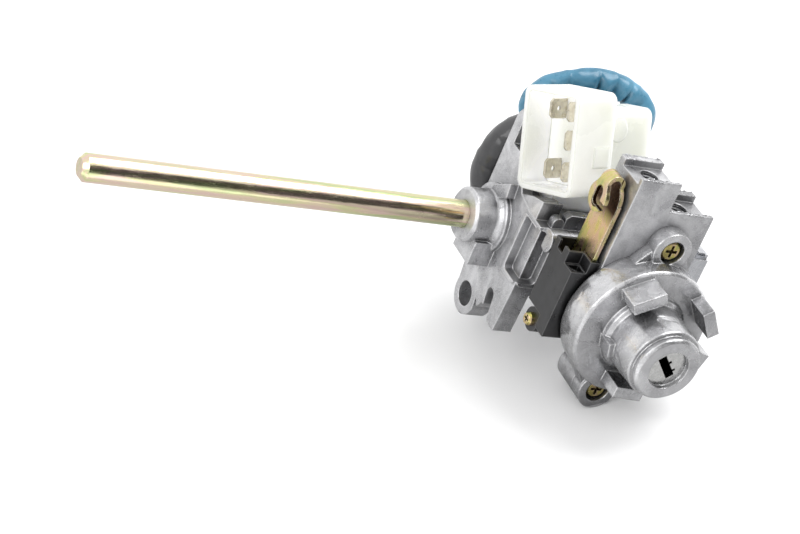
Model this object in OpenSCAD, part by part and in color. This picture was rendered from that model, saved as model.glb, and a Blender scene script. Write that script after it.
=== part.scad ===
// Ignition switch with lock rod, for a scooter frame.
// Origin: middle of the cover's front face on the key axis.
// -Y points out of the keyhole, +X runs along the rod towards the body, +Z is where the pads face.

/* [Cover] */
// Diameter of the cover's disc
disc_d = 46; // [42:0.5:50]
// Thickness of the cover's disc
disc_t = 10.8; // [9.5:0.1:12]
// Diameter of the neck behind its front ring
neck_d = 25; // [24:0.5:28]
// Length of the neck in front of the disc, with the ring
neck_len = 19.2; // [17:0.1:24]
// Outer diameter of the front ring
ring_d = 22.4; // [21:0.2:23]
// Length of the front ring
ring_len = 3.2; // [2.5:0.1:4]
// Distance of the screw ears from the key axis
ear_reach = 27; // [26.5:0.1:28]
// Angle of the upper ear from +X
ear_angle = 87; // [84:1:92]
// Diameter of a screw ear
ear_d = 13.4; // [12:0.2:14.5]
// Setback of the ears' front from the disc's face
ear_setback = 5.4; // [4.5:0.1:6]
// Thread diameter of the cover screws
cover_screw_d = 4; // [3.5:0.1:4.5]
// Depth of the counterbores of the ears
ear_counterbore = 3.2; // [2.6:0.1:3.6]
// How far the tabs stand out of the disc
tab_len = 8.7; // [7:0.1:11]
// Distance of the tabs' outer sides from the key axis
tab_reach = 20.6; // [19.8:0.1:21.4]
// Radial thickness of the tabs
tab_t = 3.9; // [3.2:0.1:4.6]

/* [Key plug] */
// Diameter of the plug
plug_d = 13; // [12:0.1:14]
// Depth of the plug's face behind the ring's face
plug_recess = 1.8; // [1.2:0.1:2.4]
// Diameter of the plug's collar
collar_d = 17; // [16:0.1:18]
// Height of the keyway
keyway_h = 8.8; // [8:0.1:9.6]
// Width of the keyway
keyway_w = 2.8; // [2.4:0.1:3.2]
// Angle of the keyway from +X at rest
keyway_angle = -48; // [-60:1:-30]
// Number of wafer tumblers
wafer_n = 6; // [4:1:7]
// Pitch of the wafers
wafer_pitch = 2.4; // [2.2:0.1:2.6]
// Width of a wafer across the keyway
wafer_w = 5.2; // [4.8:0.1:5.6]

/* [Pads] */
// Distance of the high pad's left face from the key axis
pad_left = 17; // [16.8:0.1:18]
// Width of the high pad
high_pad_w = 14.6; // [13.5:0.1:16]
// Width of the low pad
low_pad_w = 17; // [15:0.1:18]
// Depth of both pads
pad_depth = 15; // [14:0.1:17]
// Height of the high pad's rims over the key axis
high_pad_z = 48; // [45:0.5:52]
// Height of the low pad's rims over the key axis
low_pad_z = 38; // [36:0.5:41]
// Height of the rims over the pads
rim_h = 2.2; // [1.5:0.1:3]
// Thickness of the rear rims
rim_t = 2.8; // [2:0.1:3.5]
// Thickness of the front rims
front_rim_t = 1.5; // [1:0.1:2.5]
// Diameter of the pad holes
pad_hole_d = 6; // [5:0.1:6.4]
// Depth of the pad holes
pad_hole_depth = 14; // [10:0.5:18]

/* [Body] */
// Diameter of the barrel around the cam shaft
barrel_d = 33.6; // [32:0.1:33.8]
// Distance of the body's left face from the key axis
body_left = 28; // [27:0.1:30]
// Distance of the body's right face from the key axis
body_right = 16; // [15.5:0.1:18]
// Distance of the body's front face behind the cover's face
body_front = 33.5; // [32:0.1:35]
// Height of the body above the key axis
body_top = 14; // [13.6:0.1:15]
// Depth of the body below the key axis
body_bottom = 12; // [11:0.1:13]
// Height of the rear wall over the key axis
rear_wall_z = 36; // [30:0.5:40]
// Thickness of the wall behind the slider's pocket
rear_wall_t = 4.4; // [4:0.1:5.5]
// Diameter of the boss around the rod
boss_d = 18; // [16.5:0.1:20]
// Length of the boss
boss_len = 11.2; // [9:0.1:13]
// Diameter of the hole in the mounting lug
lug_hole_d = 8.5; // [7:0.1:9]
// Diameter of the lug's round end
lug_d = 14; // [12.5:0.1:15]
// Thickness of the lug
lug_t = 7; // [5:0.1:8]

/* [Lock rod] */
// Diameter of the rod
rod_d = 9; // [8:0.1:10]
// Length of the rod in front of the boss
rod_reach = 132; // [100:1:150]
// Distance of the rod's axis behind the cover's face
rod_y = 60; // [59:0.1:62]
// Chamfer of the rod's tip
rod_tip = 1.6; // [0.8:0.1:2]
// Offset of the crank pin from the key axis
crank = 5; // [4.4:0.1:5]
// Diameter of the crank pin
crank_pin_d = 5.4; // [5:0.1:5.6]
// Diameter of the cam shaft
cam_d = 16; // [15.8:0.1:16.4]
// Width of the slider
slider_w = 11; // [10.6:0.1:11.2]

/* [Switch] */
// Width of the connector's mouth
mouth_w = 24; // [22:0.5:26]
// Height of the connector's mouth
mouth_h = 33; // [31:0.5:35]
// Depth of the connector's mouth
mouth_depth = 11; // [9:0.5:12]
// Wall of the connector
mouth_wall = 1.8; // [1.4:0.1:2.4]
// Turn of the connector about the vertical
switch_yaw = 15; // [10:1:20]
// Lean of the connector to the rear
switch_lean = 24; // [20:1:26]
// Width of a blade terminal
blade_w = 6.3; // [5.5:0.1:6.5]
// Thickness of a blade terminal
blade_t = 0.8; // [0.6:0.1:1]
// Length of a blade in the mouth
blade_len = 7; // [5:0.5:8]

/* [Cable lever] */
// Thickness of the lever's strip
lever_t = 1.4; // [1:0.1:1.6]
// Width of the lever's strip
lever_w = 12.2; // [10:0.1:12.4]
// Height of the lever's top over the key axis
lever_top = 45; // [42:0.5:48]
// Gap between the lever's ear and its strip
lever_fold = 3.5; // [3:0.1:4]
// Travel of the lever
lever_travel = 8; // [5:0.5:9]
// Width of the lever's guide
guide_w = 9; // [8.6:0.1:9.6]
// Wall of the lever's guide
guide_wall = 0.8; // [0.7:0.05:1]

/* [Lead] */
// Outer diameter of the grey sleeve
grey_d = 13; // [11:0.5:14]
// Outer diameter of the blue sleeve
blue_d = 9.6; // [8:0.4:11]
// Wall of the sleeves
sleeve_wall = 0.8; // [0.6:0.1:1.2]
// Diameter of a lead's wire
wire_d = 2.4; // [2:0.1:2.8]

/* [Clearances] */
// Running clearance of round fits
run_gap = 0.06; // [0.04:0.01:0.1]
// Clearance of sliding pieces
slide_gap = 0.3; // [0.2:0.05:0.4]
// Clearance of the crank pin in the slider
crank_gap = 0.35; // [0.3:0.05:0.45]
// Clearance of screws, pins and springs in their seats
seat_gap = 0.05; // [0.03:0.01:0.08]

/* [Hidden] */
$fn = 48;
over = 1;

// Places along the key axis
neck_front = -neck_len;
plug_face = neck_front + plug_recess;
collar_y = 4;
collar_t = 3.6;
plug_end = 24;
tongue_len = 4;
tongue_w = 3;
tongue_inset = 1.04;
tongue_h = plug_d - 2 * tongue_inset;
tongue_gap = 0.1;
wafer_t = 1;
wafer_inset = 0.9;
wafer_gap = 0.1;
wafer_first = 8.4;
keyway_floor = 5;
keyway_end = plug_end - keyway_floor;
// Key wards beside the keyway: places along its height, half width and depth
ward_places = [-0.9, 2.6];
ward_w = 0.45;
ward_depth = 0.9;
cam_front = plug_end + 2 * tongue_gap;
pocket_y0 = rod_y - slider_w / 2 - slide_gap;
pocket_y1 = rod_y + slider_w / 2 + slide_gap;
cam_end = pocket_y0 - slide_gap;
crank_pin_end = pocket_y1 - 2 * slide_gap;
body_rear = pocket_y1 + rear_wall_t;

// Pads and tower
tower_y1 = disc_t + pad_depth;
pad_y = disc_t + pad_depth / 2;
high_right = -pad_left + high_pad_w;
low_right = high_right + low_pad_w;
high_pad_x = -pad_left + high_pad_w / 2;
low_pad_x = high_right + low_pad_w / 2;

// Slider and its pocket
pocket_z0 = -6.2;
pin_room = 1.2;
pocket_z1 = crank + crank_pin_d / 2 + pin_room;
slider_z0 = pocket_z0 + slide_gap;
slider_z1 = pocket_z1 - slide_gap;
pocket_wall = 1;
pocket_left = -body_left + pocket_wall;
slider_left = pocket_left + slide_gap;
slider_right = 8.5;
crank_x = -crank * sin(45);
rod_in_slider = 12;
rod_pin_d = 3;
rod_pin_inset = 0.4;
spring_bore_d = 6.4;
lock_wire_d = 0.8;
spring_z = -1.6;
spring_seat_x = 2;
post_x0 = -14;
post_x1 = -10;
post_w = 5;
post_h = 7;
post_top = body_top + post_h;
slider_travel = 2 * crank * sin(45);

// Offset of each wire from the middle of its sleeve
wire_shift = 1.5;

// Slider cap
cap_t = 2.5;
cap_r = 2;
cap_screw_d = 3;
cap_head_d = 5.6;
cap_head_h = 2;
cap_lead = 6.7;
cap_front = pocket_y0 - cap_lead;
cap_screw_depth = 6;
cap_screw_drop = 2.2;
cap_screw_inset = 3.8;
cap_screw_places = [[(cap_front + pocket_y0) / 2, pocket_z1 - cap_screw_drop],
    [body_rear - cap_screw_inset, (pocket_z0 - body_bottom) / 2]];

// Tabs on the disc: angle from +X, further reach, width
tabs = [[118.6, 0, 11.2], [34.6, 1.2, 9.8], [-16, 0, 11], [266, -1.2, 10.7]];
nib_angle = 195;
nib_len = 6.2;
nib_w = 5;
nib_h = 1.9;

// Edges of the cover and the low plinth round its neck
disc_edge = 0.8;
ring_edge = 0.9;
plinth_step = 1.4;
plinth_h = 1.8;
draft = 0.3;

// Screw heads: parts of the head's height and diameter, and the play of a through hole
head_top = 0.4;
head_taper = 0.8;
recess_span = 0.6;
recess_w = 0.14;
recess_depth = 0.55;
pass_gap = 0.2;

// Cover screws
head_lip = 1.5;
cover_head_d = cover_screw_d + 2 * head_lip;
cover_head_h = 2.4;
cover_hole_wall = 0.4;
cover_screw_len = pad_depth / 2 - pad_hole_d / 2 - cover_hole_wall;
cover_screw_end = 0.6;
head_gap = 0.6;
counterbore_d = cover_head_d + 2 * head_gap;
ear_lug_len = 11;
ear_web_len = 8;
ear_web_inset = 0.8;
ear_web_step = 1;

// Switch block
switch_out = 3;
switch_back = 16.8;
switch_rise = 4;
switch_corner = [-body_left - switch_out, body_front + switch_back, body_top + switch_rise];
floor_t = 5.8;
shroud_len = mouth_depth + floor_t;
mouth_r = 3;
chamber_len = 23.5;
chamber_w = 14.4;
chamber_h = 24;
chamber_y = 6;
chamber_z = 3;
chamber_r = 3;
// Low marks on the switch: a square one on the shroud and a round one on the chamber
mark_h = 0.5;
mark_at = [8.5, 9.5];
mark_size = [6.7, 6.5];
round_mark_at = [24.9, 20.4];
round_mark_d = 8;
foot_left = 5;
foot_x0 = post_x0 - foot_left;
foot_x1 = 10;
foot_y0 = 46.5;
foot_h = 15;
foot_top = body_top + foot_h;
carriage_l = 7.4;
carriage_w = 8;
carriage_h = 5;
carriage_lift = 1;
carriage_z = body_top + carriage_lift;
bridge_inset = 0.4;
bridge_t = 0.8;
cavity_end = 3;
cavity_side = 1;
cavity_wall = 1.2;
cavity_h = 9;
cavity_top = body_top + cavity_h;
flange_inset = 0.4;
flange_x1 = body_right - flange_inset;
flange_t = 3;
switch_screw_d = 3;
switch_head_d = 5.6;
switch_head_h = 2;
switch_screw_depth = 4.4;
switch_screw_x = (foot_x1 + flange_x1) / 2;
switch_head_room = 1.4;
switch_screw_y = [foot_y0 + switch_head_d / 2 + switch_head_room,
    body_rear - rear_wall_t - switch_head_d / 2 - switch_head_room];
blade_rows = [[-7.7, 26.1], [-15.4, 26.1], [-15.4, 17], [-7.7, 7], [-15.4, 7]];
blade_root = 4.8;
blade_cut = 1;
blade_hole_d = 1.6;

// Lever and guide
guide_x1 = -max(pad_left, barrel_d / 2 + seat_gap);
guide_x0 = guide_x1 - guide_w;
lever_x1 = guide_x1 - guide_wall - slide_gap;
lever_x0 = lever_x1 - lever_t;
lever_back = 2.3;
lever_y0 = disc_t + lever_back;
lever_y1 = lever_y0 + lever_w;
guide_y0 = lever_y0 - guide_wall - slide_gap;
guide_y1 = lever_y1 + slide_gap + guide_wall;
guide_z0 = -12.6;
guide_z1 = 16.2;
guide_rear_z0 = -8;
guide_step_z = 12;
guide_front_w = 5.4;
guide_step_y = guide_y0 + guide_front_w;
guide_floor_t = 2;
guide_floor_z = guide_rear_z0 + guide_floor_t;
spring_solid = 6;
lever_foot_z = guide_floor_z + lever_travel + spring_solid;
lever_end_gap = 1;
lever_bottom = guide_floor_z + lever_travel + lever_end_gap;
ear_x0 = lever_x0 - lever_fold - lever_t;
fold_r = lever_fold / 2;
fold_w = 5;
hook_side = 5.5;
hook_y = lever_y0 + hook_side;
hook_drop = 5.6;
leaf_r = 4.9;
hook_hole_r = 1.9;
hook_gap = 2.1;
lever_foot_w = 6;
lever_spring_d = 4.6;
lever_wire_d = 0.6;
socket_depth = 10;
spring_side = 8.5;
lever_spring_y = lever_y0 + spring_side;
lever_spring_x = (guide_x0 + guide_wall + lever_x0) / 2;
guide_screw_d = 2.6;
guide_head_d = 4.4;
guide_head_h = 2;
guide_notch = [3, 2.5, 3];
guide_boss_d = 8;
guide_boss_side = 0.4;
guide_boss_drop = 0.8;
guide_foot_out = 5.4;
guide_screw_y = guide_step_y + guide_boss_d / 2 + guide_boss_side;
guide_screw_z = guide_rear_z0 - guide_boss_d / 2 - guide_boss_drop;
guide_foot_x = guide_x1 - guide_foot_out;
guide_foot_t = 2.6;
guide_screw_len = 9;

// Corner radius of the rear wall
wall_r = 3;

// Small boss on the body's front and lug on the left wall
small_boss_d = 7.8;
small_boss_y = guide_y1 + slide_gap + small_boss_d / 2;
small_boss_z = 11.4;
small_boss_len = 16;
lug_back = 23.2;
lug_drop = 16.2;
lug_y = body_front + lug_back;
lug_z = -body_bottom - lug_drop;

// Outline of the lug, its open slot and its notch, as depth and height from the body's lower front edge
lug_outline = [[0, 1], [32.5, 1], [31.1, -7], [29.9, -15.2], [17.1, -19.2], [12.5, -12], [6.9, -13.4],
    [5.5, -15], [0.9, -15]];
lug_slot = [[12.5, -7.6], [7.7, -7], [6.1, -17], [13.5, -17], [11.5, -12.5]];
lug_slot_end = [10.1, -7.4];
lug_slot_r = 2.4;
lug_notch = [[16.9, -12.6], [12.1, -18], [16.1, -19]];

// Collar of the rod's boss, and the step and the bar beside it as depth and height from the rod's axis
collar_step = 2.6;
collar_len = 1.6;
boss_step = [[-9, -13.4], [3, -13.4], [3, -5], [-9, -5]];
boss_step_len = 8;
boss_bar = [[3.6, 5.6], [-7.2, 12], [-6.4, 16.8], [2.3, 11.1]];
boss_bar_len = 3;

// Recess that wraps round the body's left front corner, and the rib round it
panel_side_w = 8.5;
panel_front_w = 6.5;
panel_drop = 1;
panel_y1 = body_front + panel_side_w;
panel_x1 = -body_left + panel_front_w;
panel_z0 = -7.2;
panel_z1 = body_top - panel_drop;
panel_depth = 2.4;
panel_r = 1.5;
panel_rib = 1.4;
panel_rib_h = 0.8;

// Ribs under the connector: the left wall, the wedge in front of it and the hooked front rib.
// Depth from the body's front and height over the body, and for the front rib distance along X.
left_rib = [[3, -1], [35.7, -1], [35.7, 11], [26.5, 11], [16.5, 1.6]];
left_rib_t = 4;
wedge_rib = [[4.5, -1], [4.5, 6.6], [10.5, 4.8], [16.5, 1.8], [16.5, -1]];
wedge_rib_t = 8;
front_rib = [[-20, -1], [-6, -1], [-6, 3], [-13, 5.4], [-18.6, 5.4], [-20, 4]];
front_rib_t = 3;
hook_r = 1.9;
hook_x = -22.2;

// Clip beside the low pad
clip_t = 1;
clip_z = 14;
clip_h = 9;
clip_w = 5.6;
clip_side_len = 9;
clip_lip_len = 6;
clip_lip_w = 3;

// Draws children in the X-Z plane, as seen from the key, from depth y0 back to depth y1.
module slab_y(y0, y1) {
    translate([0, y1, 0]) rotate([90, 0, 0]) linear_extrude(y1 - y0) children();
}

// Draws children in the Y-Z plane from x0 to x1.
module slab_x(x0, x1) {
    translate([x0, 0, 0]) rotate([90, 0, 90]) linear_extrude(x1 - x0) children();
}

// Round bar along Y at (x, z).
module bar_y(y0, y1, d, x = 0, z = 0) {
    translate([x, y0, z]) rotate([-90, 0, 0]) cylinder(d = d, h = y1 - y0);
}

// Round bar along X at (y, z).
module bar_x(x0, x1, d, y = 0, z = 0) {
    translate([x0, y, z]) rotate([0, 90, 0]) cylinder(d = d, h = x1 - x0);
}

// Round bar along Z at (x, y).
module bar_z(z0, z1, d, x = 0, y = 0) {
    translate([x, y, z0]) cylinder(d = d, h = z1 - z0);
}

// Box between two corners.
module box(a, b) {
    translate(a) cube(b - a);
}

// Rectangle between two corners with round corners.
module soft_rect(a, b, r) {
    translate([a[0] + r, a[1]]) square([b[0] - a[0] - 2 * r, b[1] - a[1]]);
    translate([a[0], a[1] + r]) square([b[0] - a[0], b[1] - a[1] - 2 * r]);
    for (x = [a[0] + r, b[0] - r], y = [a[1] + r, b[1] - r])
        translate([x, y]) circle(r);
}

// Screw along +Z with its head under z = 0 and a cross recess in the head.
module screw(d, len, head_d, head_h) {
    difference() {
        union() {
            cylinder(d = d, h = len);
            translate([0, 0, -head_h]) cylinder(d1 = head_d * head_taper, d2 = head_d, h = head_h * head_top);
            translate([0, 0, head_h * (head_top - 1)]) cylinder(d = head_d, h = head_h * (1 - head_top));
        }
        for (a = [0, 90]) rotate(a)
            translate([-head_d * recess_span / 2, -head_d * recess_w / 2, -head_h - over])
                cube([head_d * recess_span, head_d * recess_w, head_h * recess_depth + over]);
    }
}

// Puts children at the cover ear that lies at angle a from +X.
module at_ear(a) {
    translate([ear_reach * cos(a), 0, ear_reach * sin(a)]) children();
}

// Outline of the web that joins an ear to its piece, from the given distance outwards.
module ear_web(from) {
    end_w = ear_d / 2 - ear_web_inset;
    polygon([[from, -ear_d], [ear_reach, -end_w], [ear_reach, end_w], [from, ear_d]]);
}

// Puts children at both cover ears.
module at_ears() {
    for (a = [ear_angle, ear_angle + 180]) at_ear(a) children();
}

// Coil spring along +Z that fits between z = 0 and z = len.
module spring(d, wire, len, turns) {
    steps = 16;
    rise = (len - wire) / (turns * steps);
    r = (d - wire) / 2;
    step = 360 / steps;
    sweep([for (i = [0 : turns * steps]) [r * cos(i * step), r * sin(i * step), wire / 2 + i * rise]], wire, 8);
}

// Places the connector's own frame: x runs into the mouth, -y along its width, z up its height.
module in_switch() {
    translate(switch_corner) rotate([0, 0, switch_yaw]) rotate([-switch_lean, 0, 0]) children();
}

module tower_profile() {
    polygon([[-pad_left, 0], [low_right, 0], [low_right, low_pad_z], [high_right, low_pad_z],
        [high_right, high_pad_z], [-pad_left, high_pad_z]]);
}

module tower() {
    difference() {
        slab_y(disc_t, tower_y1) tower_profile();
        box([-pad_left - over, disc_t + front_rim_t, high_pad_z - rim_h],
            [high_right + over, tower_y1 - rim_t, high_pad_z + over]);
        box([high_right, disc_t + front_rim_t, low_pad_z - rim_h],
            [low_right + over, tower_y1 - rim_t, low_pad_z + over]);
    }
}

module boss() {
    r = boss_d / 2;
    translate([-body_left, rod_y, 0]) rotate([0, -90, 0]) rotate_extrude()
        polygon([[0, -over], [r + collar_step, -over], [r + collar_step, collar_len - draft],
            [r + collar_step - draft, collar_len], [r + collar_step / 2, collar_len + draft],
            [r + draft, collar_len + collar_step / 2], [r, 2 * collar_len + draft], [r, boss_len - ring_edge],
            [r - ring_edge, boss_len], [0, boss_len]]);
}

module lug_profile() {
    difference() {
        union() {
            translate([body_front, -body_bottom]) polygon(lug_outline);
            translate([lug_y, lug_z]) circle(d = lug_d);
        }
        translate([body_front, -body_bottom]) {
            translate(lug_slot_end) circle(lug_slot_r);
            polygon(lug_slot);
            polygon(lug_notch);
        }
    }
}

module lock_housing() {
    color("darkgray") difference() {
        union() {
            bar_y(disc_t, body_front + over, barrel_d);
            tower();
            box([-body_left, body_front, -body_bottom], [body_right, body_rear, body_top]);
            slab_y(body_rear - rear_wall_t, body_rear)
                soft_rect([-body_left, -body_bottom], [low_right, rear_wall_z], wall_r);
            boss();
            slab_x(-body_left - boss_step_len, -body_left + over) translate([rod_y, 0]) polygon(boss_step);
            slab_x(-body_left - boss_bar_len, -body_left + over) translate([rod_y, 0]) polygon(boss_bar);
            slab_x(-body_left, -body_left + lug_t) lug_profile();
            bar_x(guide_x0 - slide_gap, guide_x0 + small_boss_len, small_boss_d, small_boss_y, small_boss_z);
            panel_ribs();
            at_ear(ear_angle + 180) bar_y(disc_t, disc_t + ear_lug_len, ear_d);
            slab_y(disc_t, disc_t + ear_web_len) rotate(ear_angle + 180) ear_web(0);
            bar_x(guide_foot_x, -cam_d / 2, guide_boss_d, guide_screw_y, guide_screw_z);
            gussets();
        }
        bar_y(disc_t - over, pocket_y0 + over, cam_d + 2 * run_gap);
        box([pocket_left, pocket_y0, pocket_z0], [body_right + over, pocket_y1, pocket_z1]);
        bar_x(-body_left - boss_len - over, pocket_left + over, rod_d + 2 * run_gap, rod_y);
        box([post_x0 - slide_gap, rod_y - post_w / 2 - slide_gap, pocket_z1 - over],
            [post_x1 + slider_travel + slide_gap, rod_y + post_w / 2 + slide_gap, body_top + over]);
        bar_x(-body_left - over, -body_left + lug_t + over, lug_hole_d, lug_y, lug_z);
        for (p = [[high_pad_x, high_pad_z], [low_pad_x, low_pad_z]])
            bar_z(p[1] - rim_h - pad_hole_depth, p[1] + over, pad_hole_d, p[0], pad_y);
        at_ears() bar_y(disc_t - over, disc_t + cover_screw_len, cover_screw_d + 2 * seat_gap);
        for (p = cap_screw_places) bar_x(body_right - cap_screw_depth - over, body_right + over,
            cap_screw_d + 2 * seat_gap, p[0], p[1]);
        for (y = switch_screw_y)
            bar_z(body_top - switch_screw_depth, body_top + over, switch_screw_d + 2 * seat_gap,
                switch_screw_x, y);
        bar_x(guide_foot_x - over, guide_foot_x + guide_screw_len, guide_screw_d + 2 * seat_gap,
            guide_screw_y, guide_screw_z);
        recess_panel();
    }
}

// Recess that wraps round the body's left front corner.
module recess_panel() {
    slab_x(-body_left - over, -body_left + panel_depth)
        soft_rect([body_front - 2 * panel_depth, panel_z0], [panel_y1, panel_z1], panel_r);
    slab_y(body_front - over, body_front + panel_depth)
        soft_rect([-body_left - 2 * panel_depth, panel_z0], [panel_x1, panel_z1], panel_r);
}

// Low ribs along the recess, before the recess is cut.
module panel_ribs() {
    slab_x(-body_left - panel_rib_h, -body_left + over)
        soft_rect([body_front + draft, panel_z0 - panel_rib],
            [panel_y1 + panel_rib, panel_z1 + draft], panel_r);
    slab_y(body_front - panel_rib_h, body_front + over)
        soft_rect([-body_left + draft, panel_z0 - panel_rib],
            [panel_x1 + panel_rib, panel_z1 + draft], panel_r);
}

// Ribs on top of the body that carry the connector's mouth.
module gussets() {
    translate([0, body_front, body_top]) {
        slab_x(-body_left, -body_left + left_rib_t) polygon(left_rib);
        slab_x(-body_left + draft, -body_left + wedge_rib_t) polygon(wedge_rib);
        slab_y(0, front_rib_t) {
            polygon(front_rib);
            translate([hook_x, hook_r]) circle(hook_r);
            translate([hook_x - hook_r, -over]) square([2 * hook_r, hook_r + over]);
        }
    }
}

// Tab on the disc's face whose outer side lies at the given reach from the key axis.
module tab(angle, reach, width) {
    rotate([0, -angle, 0]) box([reach - tab_t, -tab_len, -width / 2], [reach, over, width / 2]);
}

module cover_body() {
    plinth_r = neck_d / 2 + plinth_step;
    neck_end = neck_len - ring_len;
    rotate([90, 0, 0]) rotate_extrude() polygon([[0, -disc_t], [disc_d / 2, -disc_t], [disc_d / 2, -disc_edge],
        [disc_d / 2 - disc_edge, 0], [plinth_r + draft, 0], [plinth_r, plinth_h - draft],
        [plinth_r - draft, plinth_h], [neck_d / 2 + draft, plinth_h + disc_edge],
        [neck_d / 2 - draft, neck_end - draft], [neck_d / 2 - 2 * draft, neck_end],
        [ring_d / 2 - draft, neck_end], [ring_d / 2, neck_len - ring_edge],
        [ring_d / 2 - ring_edge, neck_len], [0, neck_len]]);
}

module cylinder_cover() {
    color("gainsboro") difference() {
        union() {
            cover_body();
            for (t = tabs) tab(t[0], tab_reach + t[1], t[2]);
            rotate([0, -nib_angle, 0])
                box([0, -nib_len, -nib_w / 2], [neck_d / 2 + nib_h, over, nib_w / 2]);
            at_ears() bar_y(ear_setback, disc_t, ear_d);
            slab_y(ear_setback + ear_web_step, disc_t) for (a = [ear_angle, ear_angle + 180]) rotate(a)
                ear_web(disc_d / 2 - ear_d / 2);
        }
        bar_y(neck_front - over, disc_t + over, plug_d + 2 * run_gap);
        bar_y(neck_front - over, plug_face - slide_gap, plug_d + 2 * slide_gap);
        bar_y(collar_y - slide_gap, disc_t + over, collar_d + 2 * run_gap);
        at_ears() {
            bar_y(ear_setback - over, ear_setback + ear_counterbore, counterbore_d);
            bar_y(ear_setback, disc_t + over, cover_screw_d + 2 * pass_gap);
        }
    }
}

module cover_screws() {
    color("goldenrod") at_ears() translate([0, ear_setback + ear_counterbore, 0]) rotate([-90, 0, 0])
        screw(cover_screw_d, disc_t - ear_setback - ear_counterbore + cover_screw_len - cover_screw_end,
            cover_head_d, cover_head_h);
}

module key_plug() {
    color("silver") difference() {
        union() {
            bar_y(plug_face, plug_end, plug_d);
            bar_y(collar_y, collar_y + collar_t, collar_d);
            box([-tongue_w / 2, plug_end - over, -tongue_h / 2],
                [tongue_w / 2, plug_end + tongue_len, tongue_h / 2]);
        }
        rotate([0, -keyway_angle, 0])
            box([-keyway_h / 2, plug_face - over, -keyway_w / 2], [keyway_h / 2, keyway_end, keyway_w / 2]);
        rotate([0, -keyway_angle, 0]) for (x = ward_places)
            box([x - ward_w, plug_face - over, 0], [x + ward_w, keyway_end, keyway_w / 2 + ward_depth]);
        for (i = [0 : wafer_n - 1]) wafer_space(i, wafer_gap);
    }
}

// Slot of one wafer across the plug, with the given clearance.
module wafer_space(i, gap) {
    y = plug_face + wafer_first + i * wafer_pitch;
    rotate([0, -keyway_angle, 0])
        box([-plug_d / 2 + wafer_inset - gap, y - gap, -wafer_w / 2 - gap],
            [plug_d / 2 - wafer_inset + gap, y + wafer_t + gap, wafer_w / 2 + gap]);
}

module wafer_tumblers() {
    color("peru") for (i = [0 : wafer_n - 1]) difference() {
        wafer_space(i, 0);
        rotate([0, -keyway_angle, 0]) translate([wafer_t / 2 * cos(i * 90), plug_face, 0])
            box([-keyway_h / 2 + wafer_t, 0, -keyway_w / 2 - slide_gap],
                [keyway_h / 2 - wafer_t, plug_end - plug_face, keyway_w / 2 + slide_gap]);
    }
}

module cam_shaft() {
    color("dimgray") difference() {
        union() {
            bar_y(cam_front, cam_end, cam_d);
            bar_y(cam_end - over, crank_pin_end, crank_pin_d, crank_x, -crank_x);
        }
        box([-tongue_w / 2 - tongue_gap, cam_front - over, -cam_d],
            [tongue_w / 2 + tongue_gap, plug_end + tongue_len + slide_gap, cam_d]);
    }
}

module lock_slider() {
    color("slategray") difference() {
        union() {
            box([slider_left, pocket_y0 + slide_gap, slider_z0],
                [slider_right, pocket_y1 - slide_gap, slider_z1]);
            box([post_x0, rod_y - post_w / 2, slider_z1 - over], [post_x1, rod_y + post_w / 2, post_top]);
        }
        box([crank_x - crank_pin_d / 2 - crank_gap, pocket_y0 - over, -crank_x - crank_pin_d / 2 - crank_gap],
            [crank_x + crank_pin_d / 2 + crank_gap, pocket_y1 + over, slider_z1 + over]);
        bar_x(slider_left - over, slider_left + rod_in_slider, rod_d + 2 * seat_gap, rod_y);
        bar_x(spring_seat_x, slider_right + over, spring_bore_d, rod_y, spring_z);
        bar_y(pocket_y0 - over, pocket_y1 + over, rod_pin_d + 2 * seat_gap,
            slider_left + rod_in_slider / 2, 0);
    }
}

module lock_rod() {
    tip = -body_left - boss_len - rod_reach;
    color("khaki") difference() {
        union() {
            translate([tip, rod_y, 0]) rotate([0, 90, 0])
                cylinder(d1 = rod_d - 2 * rod_tip, d2 = rod_d, h = rod_tip);
            bar_x(tip + rod_tip, slider_left + rod_in_slider, rod_d, rod_y);
        }
        bar_y(pocket_y0 - over, pocket_y1 + over, rod_pin_d + 2 * seat_gap,
            slider_left + rod_in_slider / 2, 0);
    }
}

module rod_pin() {
    color("gray") bar_y(pocket_y0 + slide_gap + rod_pin_inset, pocket_y1 - slide_gap - rod_pin_inset,
        rod_pin_d, slider_left + rod_in_slider / 2, 0);
}

module lock_spring() {
    color("gainsboro") translate([spring_seat_x + seat_gap, rod_y, spring_z]) rotate([0, 90, 0])
        spring(spring_bore_d - 2 * slide_gap, lock_wire_d, body_right - spring_seat_x - 2 * seat_gap, 6);
}

module slider_cap() {
    color("lightgray") difference() {
        slab_x(body_right, body_right + cap_t)
            soft_rect([cap_front, -body_bottom + slide_gap],
                [body_rear - slide_gap, body_top - slide_gap], cap_r);
        for (p = cap_screw_places)
            bar_x(body_right - over, body_right + cap_t + over, cap_screw_d + 2 * pass_gap, p[0], p[1]);
    }
}

module cap_screws() {
    color("goldenrod") for (p = cap_screw_places)
        translate([body_right + cap_t, p[0], p[1]]) rotate([0, -90, 0])
            screw(cap_screw_d, cap_t + cap_screw_depth, cap_head_d, cap_head_h);
}

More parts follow.
